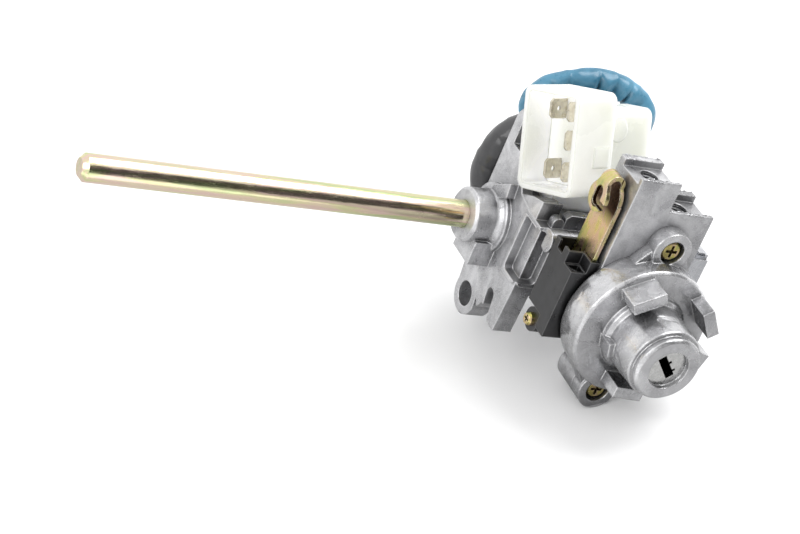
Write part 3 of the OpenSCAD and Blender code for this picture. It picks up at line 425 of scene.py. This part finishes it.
# the painted edge highlight, the darkness of the painted shade in hollows, the tone noise and the bump
metalShadeAndWear = {"edgeRadius": 0.00025, "edgeShare": 0.5, "edge": (0.9, 0.89, 0.86), "hollowTone": 0.08,
             "tone": (5.0, 0.6), "bump": 0.1, "bumpDepth": 0.00003}
metalLook = {
    "plug": {"dark": (0.66, 0.66, 0.65), "light": (0.92, 0.92, 0.91), "rough": (0.16, 0.32), "scale": 900.0,
             "reach": 0.005, "deep": 1.0},
    "blade": {"dark": (0.46, 0.42, 0.33), "light": (0.72, 0.68, 0.57), "rough": (0.22, 0.40), "scale": 500.0,
              "reach": 0.002, "deep": 0.6},
    "steel": {"dark": (0.34, 0.35, 0.37), "light": (0.52, 0.53, 0.55), "rough": (0.25, 0.42), "scale": 420.0,
              "reach": 0.003, "deep": 0.4},
    "clip": {"dark": (0.60, 0.61, 0.64), "light": (0.80, 0.81, 0.84), "rough": (0.20, 0.34), "scale": 300.0,
             "reach": 0.003, "deep": 0.5},
    "wafer": {"dark": (0.20, 0.15, 0.07), "light": (0.34, 0.26, 0.13), "rough": (0.25, 0.40), "scale": 420.0,
              "reach": 0.003, "deep": 0.8},
}


def metalMaterial(name, look):
    material, tree, bsdf = newMaterial(name)
    edge = useGroup(tree, softEdge, Radius=metalShadeAndWear["edgeRadius"])
    hollow = useGroup(tree, hollowShade, Reach=look["reach"])
    tone = spread(tree, noiseNode(tree, objectPoint(tree), look["scale"], *metalShadeAndWear["tone"]), *toneBand)
    body = mixColor(tree, tone, look["dark"], look["light"])
    # painted shade: hollows darkened towards a dim copy of the dark colour
    dim = tuple(metalShadeAndWear["hollowTone"] * c for c in look["dark"])
    deep = layer(tree, hollow.outputs["Mask"], look["deep"], body, dim)
    # painted highlight on the edges, partly edge wear
    paintedEdge = layer(tree, edge.outputs["Mask"], metalShadeAndWear["edgeShare"], deep, metalShadeAndWear["edge"])
    finishColor(tree, bsdf, paintedEdge, tone, wholeBand, look["rough"])
    bsdf.inputs["Metallic"].default_value = 1.0
    finishNormal(tree, bsdf, tone, metalShadeAndWear["bump"], metalShadeAndWear["bumpDepth"], edge)
    return material


# reach of the painted corner colour and glow, share of the painted edge colour, tone noise, grain, bump, and
# the colour where nothing glows
plasticShadeAndGlow = {"reach": 0.012, "edgeShare": 0.6, "tone": (4.0, 0.55), "grain": (1800.0, 2.0, 0.5),
               "bump": 0.08, "bumpDepth": 0.00003, "unlit": (0.0, 0.0, 0.0)}
# inside is the painted corner colour: painted light on the nylon, painted shade on the black and inner
# mouldings; edge is the painted edge colour: a painted highlight on the black and inner mouldings, a painted
# darker rim on the nylon
plasticLook = {
    "nylon": {"dark": (0.68, 0.69, 0.63), "light": (0.77, 0.78, 0.725), "rough": (0.22, 0.34), "scale": 60.0,
              "subsurface": 1.0, "radius": (0.009, 0.0088, 0.0080), "edge": (0.42, 0.43, 0.35), "ior": 1.42,
              "inside": (1.0, 1.0, 0.98), "insideShare": 1.0, "edgeRadius": 0.0008,
              "through": 0.21, "throughBand": (0.25, 0.85)},
    "black": {"dark": (0.013, 0.013, 0.014), "light": (0.030, 0.030, 0.032), "rough": (0.26, 0.42),
              "scale": 260.0, "subsurface": 0.0, "radius": (0.001, 0.001, 0.001), "edge": (0.22, 0.22, 0.225),
              "ior": 1.55, "inside": (0.004, 0.004, 0.004), "insideShare": 1.0, "edgeRadius": 0.0005},
    "inner": {"dark": (0.16, 0.09, 0.05), "light": (0.24, 0.14, 0.08), "rough": (0.40, 0.55),
              "scale": 300.0, "subsurface": 0.0, "radius": (0.001, 0.001, 0.001), "edge": (0.30, 0.19, 0.12),
              "ior": 1.50, "inside": (0.10, 0.06, 0.03), "insideShare": 0.5, "edgeRadius": 0.0005},
}


# painted light: a glow in the deep hollows, away from the edges, in place of the light that comes through the
# thin walls into the hollow
def paintedThroughLight(tree, bsdf, look, edge):
    hollow = useGroup(tree, hollowShade, Reach=plasticShadeAndGlow["reach"])
    deepest = spread(tree, hollow.outputs["Mask"], *look["throughBand"])
    glowOffEdges = mathNode(tree, "MAXIMUM", mathNode(tree, "SUBTRACT", deepest, edge.outputs["Mask"]), 0.0)
    join(tree, mixColor(tree, glowOffEdges, plasticShadeAndGlow["unlit"], look["inside"]), bsdf.inputs["Emission Color"])
    bsdf.inputs["Emission Strength"].default_value = look["through"]


def plasticMaterial(name, look):
    material, tree, bsdf = newMaterial(name)
    edge = useGroup(tree, softEdge, Radius=look["edgeRadius"])
    corner = useGroup(tree, cornerShade, Reach=plasticShadeAndGlow["reach"])
    point = objectPoint(tree)
    tone = spread(tree, noiseNode(tree, point, look["scale"], *plasticShadeAndGlow["tone"]), *toneBand)
    body = mixColor(tree, tone, look["dark"], look["light"])
    # painted light in the nylon's corners, painted shade in the corners of the other mouldings
    deep = layer(tree, corner.outputs["Mask"], look["insideShare"], body, look["inside"])
    # painted edge: highlight on the black and inner mouldings, darker rim on the nylon
    paintedEdge = layer(tree, edge.outputs["Mask"], plasticShadeAndGlow["edgeShare"], deep, look["edge"])
    finishColor(tree, bsdf, paintedEdge, tone, wholeBand, look["rough"])
    bsdf.inputs["Subsurface Weight"].default_value = look["subsurface"]
    bsdf.inputs["Subsurface Radius"].default_value = look["radius"]
    bsdf.inputs["Subsurface Scale"].default_value = 1.0
    bsdf.inputs["IOR"].default_value = look["ior"]
    if "through" in look:
        paintedThroughLight(tree, bsdf, look, edge)
    grain = noiseNode(tree, point, *plasticShadeAndGlow["grain"])
    finishNormal(tree, bsdf, grain, plasticShadeAndGlow["bump"], plasticShadeAndGlow["bumpDepth"], edge)
    return material


# reach and darkness of the painted crease shade, tone noise, grain and bump
vinylShadeAndGrain = {"reach": 0.004, "tone": (90.0, 4.0, 0.55), "creaseTone": 0.35, "grain": (500.0, 3.0, 0.5),
             "bump": 0.15, "bumpDepth": 0.0001}
vinylLook = {
    "grey": {"dark": (0.040, 0.040, 0.042), "light": (0.070, 0.070, 0.073), "rough": (0.14, 0.24),
             "crease": 0.35},
    "blue": {"dark": (0.030, 0.13, 0.21), "light": (0.115, 0.31, 0.45), "rough": (0.22, 0.34),
             "crease": 1.0},
    "wire": {"dark": (0.012, 0.012, 0.013), "light": (0.03, 0.03, 0.032), "rough": (0.40, 0.55),
             "crease": 0.2},
}


def vinylMaterial(name, look):
    material, tree, bsdf = newMaterial(name)
    point = objectPoint(tree)
    corner = useGroup(tree, cornerShade, Reach=vinylShadeAndGrain["reach"])
    tone = spread(tree, noiseNode(tree, point, *vinylShadeAndGrain["tone"]), *toneBand)
    body = mixColor(tree, tone, look["dark"], look["light"])
    # painted shade: creases and corners darkened
    dim = tuple(vinylShadeAndGrain["creaseTone"] * c for c in look["dark"])
    creaseShaded = layer(tree, corner.outputs["Mask"], look["crease"], body, dim)
    finishColor(tree, bsdf, creaseShaded, tone, wholeBand, look["rough"])
    grain = noiseNode(tree, point, *vinylShadeAndGrain["grain"])
    finishNormal(tree, bsdf, grain, vinylShadeAndGrain["bump"], vinylShadeAndGrain["bumpDepth"])
    return material


castZinc = castMaterial("castZinc", castLook["housing"])
coverZinc = castMaterial("coverZinc", castLook["cover"])
rodFilm = filmMaterial("rodFilm", filmLook["rod"])
leverFilm = filmMaterial("leverFilm", filmLook["lever"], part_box("cable_lever"))
screwFilm = filmMaterial("screwFilm", filmLook["screw"])
plugNickel = metalMaterial("plugNickel", metalLook["plug"])
bladeTin = metalMaterial("bladeTin", metalLook["blade"])
innerSteel = metalMaterial("innerSteel", metalLook["steel"])
clipSteel = metalMaterial("clipSteel", metalLook["clip"])
waferBrass = metalMaterial("waferBrass", metalLook["wafer"])
whiteNylon = plasticMaterial("whiteNylon", plasticLook["nylon"])
blackMoulding = plasticMaterial("blackMoulding", plasticLook["black"])
innerMoulding = plasticMaterial("innerMoulding", plasticLook["inner"])
greyVinyl = vinylMaterial("greyVinyl", vinylLook["grey"])
blueVinyl = vinylMaterial("blueVinyl", vinylLook["blue"])
wireCover = vinylMaterial("wireCover", vinylLook["wire"])

nodeFinish = {
    "lock_housing": castZinc, "cylinder_cover": coverZinc, "slider_cap": castZinc,
    "lock_rod": rodFilm, "cable_lever": leverFilm,
    "cover_screws": screwFilm, "guide_screw": screwFilm, "cap_screws": screwFilm, "switch_screws": screwFilm,
    "key_plug": plugNickel, "wafer_tumblers": waferBrass, "cam_shaft": innerSteel, "lock_slider": innerSteel,
    "rod_pin": innerSteel, "lock_spring": innerSteel, "lever_spring": innerSteel, "side_clip": clipSteel,
    "switch_block": whiteNylon, "blade_terminals": bladeTin, "contact_bridge": bladeTin,
    "contact_slide": innerMoulding, "lever_guide": blackMoulding,
    "grey_sleeve": greyVinyl, "blue_sleeve": blueVinyl, "lead_wires": wireCover,
}
for nodeName, finish in nodeFinish.items():
    mesh = nodes[nodeName].data
    mesh.materials.clear()
    mesh.materials.append(finish)
print("finishes on", len(nodeFinish), "nodes")


# swept pieces

def addPiece(name, points, faces, material, body="base", smooth=True):
    mesh = bpy.data.meshes.new(name)
    mesh.from_pydata(points, [], faces)
    mesh.polygons.foreach_set("use_smooth", [smooth] * len(mesh.polygons))
    mesh.materials.append(material)
    piece = placed(name, mesh)
    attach(piece, body)
    return piece


def smoothRoute(points, perSpan):
    path = []
    last = len(points) - 1
    for i in range(last):
        a, b = points[max(i - 1, 0)], points[i]
        c, d = points[i + 1], points[min(i + 2, last)]
        for k in range(perSpan):
            t = k / perSpan
            path.append(0.5 * (2 * b + (c - a) * t + (2 * a - 5 * b + 4 * c - d) * t ** 2
                               + (3 * b - a - 3 * c + d) * t ** 3))
    path.append(points[last])
    return path


def carriedFrames(path, across):
    frames = []
    last = len(path) - 1
    for i, point in enumerate(path):
        along = (path[min(i + 1, last)] - path[max(i - 1, 0)]).normalized()
        across = (across - along * across.dot(along)).normalized()
        frames.append((point, across, along.cross(across)))
    return frames


def ringFaces(rings, sides):
    faces = []
    for i in range(rings - 1):
        for k in range(sides):
            a, b = i * sides + k, i * sides + (k + 1) % sides
            faces.append((a, b, b + sides, a + sides))
    faces.append(tuple(reversed(range(sides))))
    faces.append(tuple(range((rings - 1) * sides, rings * sides)))
    return faces


# outward directions round a path's point
def ringOut(across, other, sides):
    angles = [2 * math.pi * k / sides for k in range(sides)]
    return [across * math.cos(angle) + other * math.sin(angle) for angle in angles]


# vinyl sleeves: the same routes as the solids, with folds on the inner side of each bend

foldLook = {"across": (0.2, 0.3, 1), "bendSteps": 2, "straight": 1e-9, "toWall": (0, -0.8, 0),
            "wander": 2.4, "wanderScale": 0.13, "wanderSeed": (0.3, 0.7), "sharp": 0.6,
            "sideReach": 0.65, "sidePower": 1.3, "rippleAlong": 180, "rippleRound": 0.9}
sleeveLook = {
    "grey": {"node": "grey_sleeve",
             "route": [(-16, 4, -5), (-19, 7.5, -3), (-22.5, 9, 4), (-23, 9.5, 11), (-21, 9, 18.5),
                       (-17, 7.5, 24), (-15, 4, 25)],
             "radius": [6.4] * 9,
             "foldPitch": 10.5, "foldDepth": 1.3, "ripple": 0.5, "sides": 48, "perSpan": 26},
    "blue": {"node": "blue_sleeve",
             "route": [(-1, 3, 19), (-2.5, 10, 19.5), (-7, 17, 21), (-11.5, 20, 27), (-9.5, 20, 34),
                       (-2, 18, 39), (8, 16, 41.5), (18, 13, 40.5), (25, 10, 35.5), (24, 8.5, 28),
                       (16, 7, 22.5), (9, 3, 21)],
             "radius": [4.7, 4.7, 4.5, 4.2, 3.7, 3.5, 3.9, 4.7, 4.7, 4.7, 4.7, 4.7, 4.7, 4.7],
             "foldPitch": 6.4, "foldDepth": 2.5, "ripple": 0.45, "sides": 64, "perSpan": 30},
}


def radiusAt(radii, span):
    first = min(int(span), len(radii) - 2)
    part = span - first
    return radii[first] * (1 - part) + radii[first + 1] * part


# direction of the folds: the inner side of the bend, turned towards the wall
def foldSide(path, i, across):
    before = path[max(i - foldLook["bendSteps"], 0)]
    after = path[min(i + foldLook["bendSteps"], len(path) - 1)]
    bend = before + after - 2 * path[i]
    inward = bend.normalized() if bend.length > foldLook["straight"] else across
    return (inward + Vector(foldLook["toWall"])).normalized()


def creaseAt(walked, pitch):
    wander = noise.noise(Vector((walked * foldLook["wanderScale"], *foldLook["wanderSeed"])))
    wave = math.sin(math.pi * walked / pitch + wander * foldLook["wander"])
    return 1 - abs(wave) ** foldLook["sharp"]


def sleevePiece(name, look, material):
    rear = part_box(look["node"])[0][1]
    route = [mm(*p) + Vector((0, rear, 0)) for p in look["route"]]
    ends = [Vector((p.x, rear, p.z)) for p in (route[0], route[-1])]
    path = smoothRoute([ends[0], *route, ends[1]], look["perSpan"])
    frames = carriedFrames(path, Vector(foldLook["across"]))
    points = []
    walked = 0.0
    for i, (point, across, other) in enumerate(frames):
        walked += (point - path[max(i - 1, 0)]).length * 1000
        folded = foldSide(path, i, across)
        crease = creaseAt(walked, look["foldPitch"])
        full = radiusAt(look["radius"], i / look["perSpan"])
        for away in ringOut(across, other, look["sides"]):
            inner = max(0.0, away.dot(folded) + foldLook["sideReach"]) / (1 + foldLook["sideReach"])
            ripple = noise.noise(point * foldLook["rippleAlong"] + away * foldLook["rippleRound"])
            radius = full - look["foldDepth"] * crease * inner ** foldLook["sidePower"]
            place = point + away * (radius - abs(ripple * look["ripple"])) / 1000
            points.append((place.x, max(place.y, rear), place.z))
    return addPiece(name, points, ringFaces(len(frames), look["sides"]), material)


greySkin = sleevePiece("greySkin", sleeveLook["grey"], greyVinyl)
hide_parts("grey_sleeve")
blueSkin = sleevePiece("blueSkin", sleeveLook["blue"], blueVinyl)
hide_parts("blue_sleeve")
print("sleeves made")


# coil springs

coilMesh = {"perTurn": 24, "sides": 12}
coilLook = {
    "lock": {"start": (2.05, 60, -1.6), "axis": (1, 0, 0), "across": (0, 1, 0), "length": 13.9, "outer": 5.8,
             "wire": 0.8, "turns": 6, "travel": 7.07, "anchor": (16, 60, -1.6)},
    "lever": {"axis": (0, 0, 1), "across": (1, 0, 0), "length": 13.9, "outer": 4.6, "wire": 0.6, "turns": 6,
              "travel": 8.0},
}


def coilPiece(name, look, start):
    axis, across = Vector(look["axis"]), Vector(look["across"])
    other = axis.cross(across)
    steps = coilMesh["perTurn"] * look["turns"]
    wireRadius = look["wire"] / 2000
    radius = (look["outer"] - look["wire"]) / 2000
    rise = (look["length"] - look["wire"]) / 1000
    path = []
    for i in range(steps + 1):
        angle = 2 * math.pi * look["turns"] * i / steps
        path.append(start + axis * (wireRadius + rise * i / steps)
                    + (across * math.cos(angle) + other * math.sin(angle)) * radius)
    points = []
    for point, u, v in carriedFrames(path, axis.copy()):
        points += [point + away * wireRadius for away in ringOut(u, v, coilMesh["sides"])]
    return addPiece(name, points, ringFaces(len(path), coilMesh["sides"]), innerSteel)


lockCoil = coilPiece("lockCoil", coilLook["lock"], mm(*coilLook["lock"]["start"]))
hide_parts("lock_spring")
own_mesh(lockCoil)
springLow, springHigh = (Vector(corner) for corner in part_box("lever_spring"))
springFoot = (springLow + springHigh) / 2
springFoot.z = springLow.z
leverCoil = coilPiece("leverCoil", coilLook["lever"], springFoot)
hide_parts("lever_spring")
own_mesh(leverCoil)
print("springs made")


# screw threads in the two pad holes

threadLook = {"holes": [(-9.7, 18.3, 45.8), (6.1, 18.3, 35.8)], "radius": 3.0, "depth": 0.42, "pitch": 1.0,
              "sink": 0.03, "turns": 11, "steps": 40, "start": 0.6, "flank": 0.44, "crest": 0.05,
              "least": 0.05}


# one step of the thread: root, crest, crest and root, as radius and height
def threadProfile(look, grow):
    half = look["flank"] * look["pitch"] * max(grow, look["least"])
    root, crest = look["radius"] + look["sink"], look["radius"] - look["depth"] * grow
    return ((root, half), (crest, look["crest"]), (crest, -look["crest"]), (root, -half))


def threadPieces(look):
    count = look["turns"] * look["steps"]
    for index, (holeX, holeY, top) in enumerate(look["holes"]):
        points = []
        for i in range(count + 1):
            turn = i / look["steps"]
            angle = 2 * math.pi * turn
            z = top - look["start"] - look["pitch"] * turn
            grow = min(1.0, turn, (count - i) / look["steps"])     # the thread runs out at both ends
            for radius, lift in threadProfile(look, grow):
                points.append(mm(holeX + radius * math.cos(angle), holeY + radius * math.sin(angle),
                                 z + lift))
        addPiece("padThread" + str(index + 1), points, ringFaces(count + 1, 4), castZinc,
                 smooth=False)


threadPieces(threadLook)


# ragged burrs along the rims of the pads, and the cover's mould seam

burrShape = {"seed": (1.1, 3.7, 1), "fine": 0.6, "fineScale": 3.1, "leanScale": 1.7, "leanShift": (9, 4, 2),
             "base": 0.35, "least": 0.08, "tip": 0.03}
padRims = {"spans": [(-16.8, -2.6, 48), (-2.2, 14.4, 38)], "rows": (23.1, 25.6, 11.0, 12.1)}
burrLook = {
    "rims": {"lines": [((x0, y, z), (x1, y, z)) for x0, x1, z in padRims["spans"] for y in padRims["rows"]],
             "out": (0, 0, 1), "step": 0.2, "width": 0.42, "height": 0.55, "lean": 0.3, "sink": 0.06},
    "seam": {"lines": [((-21.8, 0, -5.2), (-12.0, 0, -4.6))],
             "out": (0, -1, 0), "step": 0.15, "width": 0.34, "height": 0.20, "lean": 0.1, "sink": 0.04},
}


# height and lean of the burr at a place
def raggedAt(place, look):
    seed = place * Vector(burrShape["seed"])
    rough = noise.noise(seed) + burrShape["fine"] * noise.noise(seed * burrShape["fineScale"])
    tilt = noise.noise(seed * burrShape["leanScale"] + Vector(burrShape["leanShift"]))
    return look["height"] * max(burrShape["least"], burrShape["base"] + rough), look["lean"] * tilt


def burrPieces(name, look, material):
    points, faces = [], []
    out = Vector(look["out"])
    half, tip = look["width"] / 2, burrShape["tip"]
    for a, b in look["lines"]:
        first = len(points)
        start, end = Vector(a), Vector(b)
        side = out.cross(end - start).normalized()
        count = int((end - start).length / look["step"])
        for i in range(count + 1):
            place = start.lerp(end, i / count)
            height, lean = raggedAt(place, look)
            profile = ((-half, -look["sink"]), (lean - tip, height),
                       (lean + tip, height), (half, -look["sink"]))
            points += [(place + side * across + out * rise) / 1000 for across, rise in profile]
        faces += [tuple(first + v for v in face) for face in ringFaces(count + 1, 4)]
    addPiece(name, points, faces, material, smooth=False)


burrPieces("rimBurrs", burrLook["rims"], castZinc)
burrPieces("seamFlash", burrLook["seam"], coverZinc)
print("threads and burrs made")


# floor, light and cards

studio = {
    "floorUp": (-0.35, 0.04, 0.93), "floorSize": 3.0, "floorColor": (0.94, 0.94, 0.942), "floorRough": 0.7,
    "ambient": 0.92, "middle": (-0.02, 0.03, 0.01),
    "key": {"place": (0.36, 0.10, 1.5), "size": (1.1, 0.9), "power": 17.0},
    "fill": {"place": (-1.3, -0.35, 0.55), "size": (0.9, 0.9), "power": 6.0},
    "frontCard": {"place": (0.57, -1.06, 0.50), "size": (2.4, 1.40), "tone": 0.04},
    "cardRough": 0.9, "tableLift": 0.001,
    "tableCards": {
        "nearCard": {"shift": (0.395, -0.228), "size": (0.34, 0.80), "tone": 0.36},
        "rearCard": {"shift": (-0.19, 0.21), "size": (0.50, 0.70), "tone": 0.50},
        "farCard": {"shift": (0.50, -0.77), "size": (0.74, 2.00), "tone": 0.04},
    },
}


def flatSheet(name, centre, right, up, material):
    mesh = bpy.data.meshes.new(name)
    corners = ((-1, -1), (1, -1), (1, 1), (-1, 1))
    mesh.from_pydata([centre + right * a + up * b for a, b in corners], [], [(0, 1, 2, 3)])
    mesh.materials.append(material)
    return placed(name, mesh)


# pale from above and clear from below
def floorMaterial(look):
    material, tree, bsdf = newMaterial("paleFloor")
    bsdf.inputs["Base Color"].default_value = (*look["floorColor"], 1)
    bsdf.inputs["Roughness"].default_value = look["floorRough"]
    output = next(n for n in tree.nodes if n.type == "OUTPUT_MATERIAL")
    clear = addNode(tree, "ShaderNodeBsdfTransparent")
    facing = addNode(tree, "ShaderNodeNewGeometry")
    choose = addNode(tree, "ShaderNodeMixShader")
    join(tree, facing.outputs["Backfacing"], choose.inputs[0])
    join(tree, bsdf.outputs[0], choose.inputs[1])
    join(tree, clear.outputs[0], choose.inputs[2])
    join(tree, choose.outputs[0], output.inputs["Surface"])
    return material


def makeFloor(look):
    up = Vector(look["floorUp"]).normalized()
    low = min(up.dot(v.co) for node in nodes.values() for v in node.data.vertices)
    centre = Vector((cadBox[0] + cadBox[1]) / 2)
    foot = centre - up * (up.dot(centre) - low)
    side = up.orthogonal().normalized()
    half = look["floorSize"] / 2
    floor = flatSheet("floor", foot, side * half, up.cross(side) * half, floorMaterial(look))
    return up, foot


def aim(piece, place, target):
    piece.location = place
    piece.rotation_mode = "QUATERNION"
    piece.rotation_quaternion = (Vector(target) - Vector(place)).to_track_quat("-Z", "Y")


def softbox(name, look, target):
    lamp = bpy.data.lights.new(name, "AREA")
    lamp.shape = "RECTANGLE"
    lamp.size, lamp.size_y = look["size"]
    lamp.energy = look["power"]
    aim(placed(name, lamp), target + Vector(look["place"]), target)


# card that only glossy rays see
def darkCard(name, look, place, target):
    material, tree, bsdf = newMaterial(name + "Cloth")
    bsdf.inputs["Base Color"].default_value = (look["tone"], look["tone"], look["tone"], 1)
    bsdf.inputs["Roughness"].default_value = studio["cardRough"]
    width, height = look["size"]
    card = flatSheet(name, Vector(), Vector((width / 2, 0, 0)), Vector((0, height / 2, 0)), material)
    aim(card, place, target)
    card.visible_camera = False
    card.visible_diffuse = False
    card.visible_shadow = False
    card.visible_transmission = False


def makeWorld(look):
    world = bpy.data.worlds.new("studioWorld")
    scene.world = world
    world.use_nodes = True
    tree = world.node_tree
    background = next(n for n in tree.nodes if n.type == "BACKGROUND")
    ray = addNode(tree, "ShaderNodeLightPath").outputs
    mirrored = mathNode(tree, "MAXIMUM", ray["Is Glossy Ray"], ray["Is Transmission Ray"])
    seen = mathNode(tree, "MAXIMUM", ray["Is Camera Ray"], mirrored)
    join(tree, spread(tree, seen, 0.0, 1.0, look["ambient"], 1.0), background.inputs["Strength"])
    background.inputs["Color"].default_value = (1, 1, 1, 1)


floorUp, floorFoot = makeFloor(studio)
makeWorld(studio)
middle = Vector(studio["middle"])
softbox("keySoftbox", studio["key"], middle)
softbox("fillSoftbox", studio["fill"], middle)
darkCard("frontCard", studio["frontCard"], middle + Vector(studio["frontCard"]["place"]), middle)
floorX = (Vector((1, 0, 0)) - floorUp * floorUp.x).normalized()
floorY = floorUp.cross(floorX)
for cardName, card in studio["tableCards"].items():
    shiftX, shiftY = card["shift"]
    cardPlace = floorFoot + floorX * shiftX + floorY * shiftY + floorUp * studio["tableLift"]
    darkCard(cardName, card, cardPlace, cardPlace + floorUp)
scene.view_settings.view_transform = "Standard"
print("studio ready")
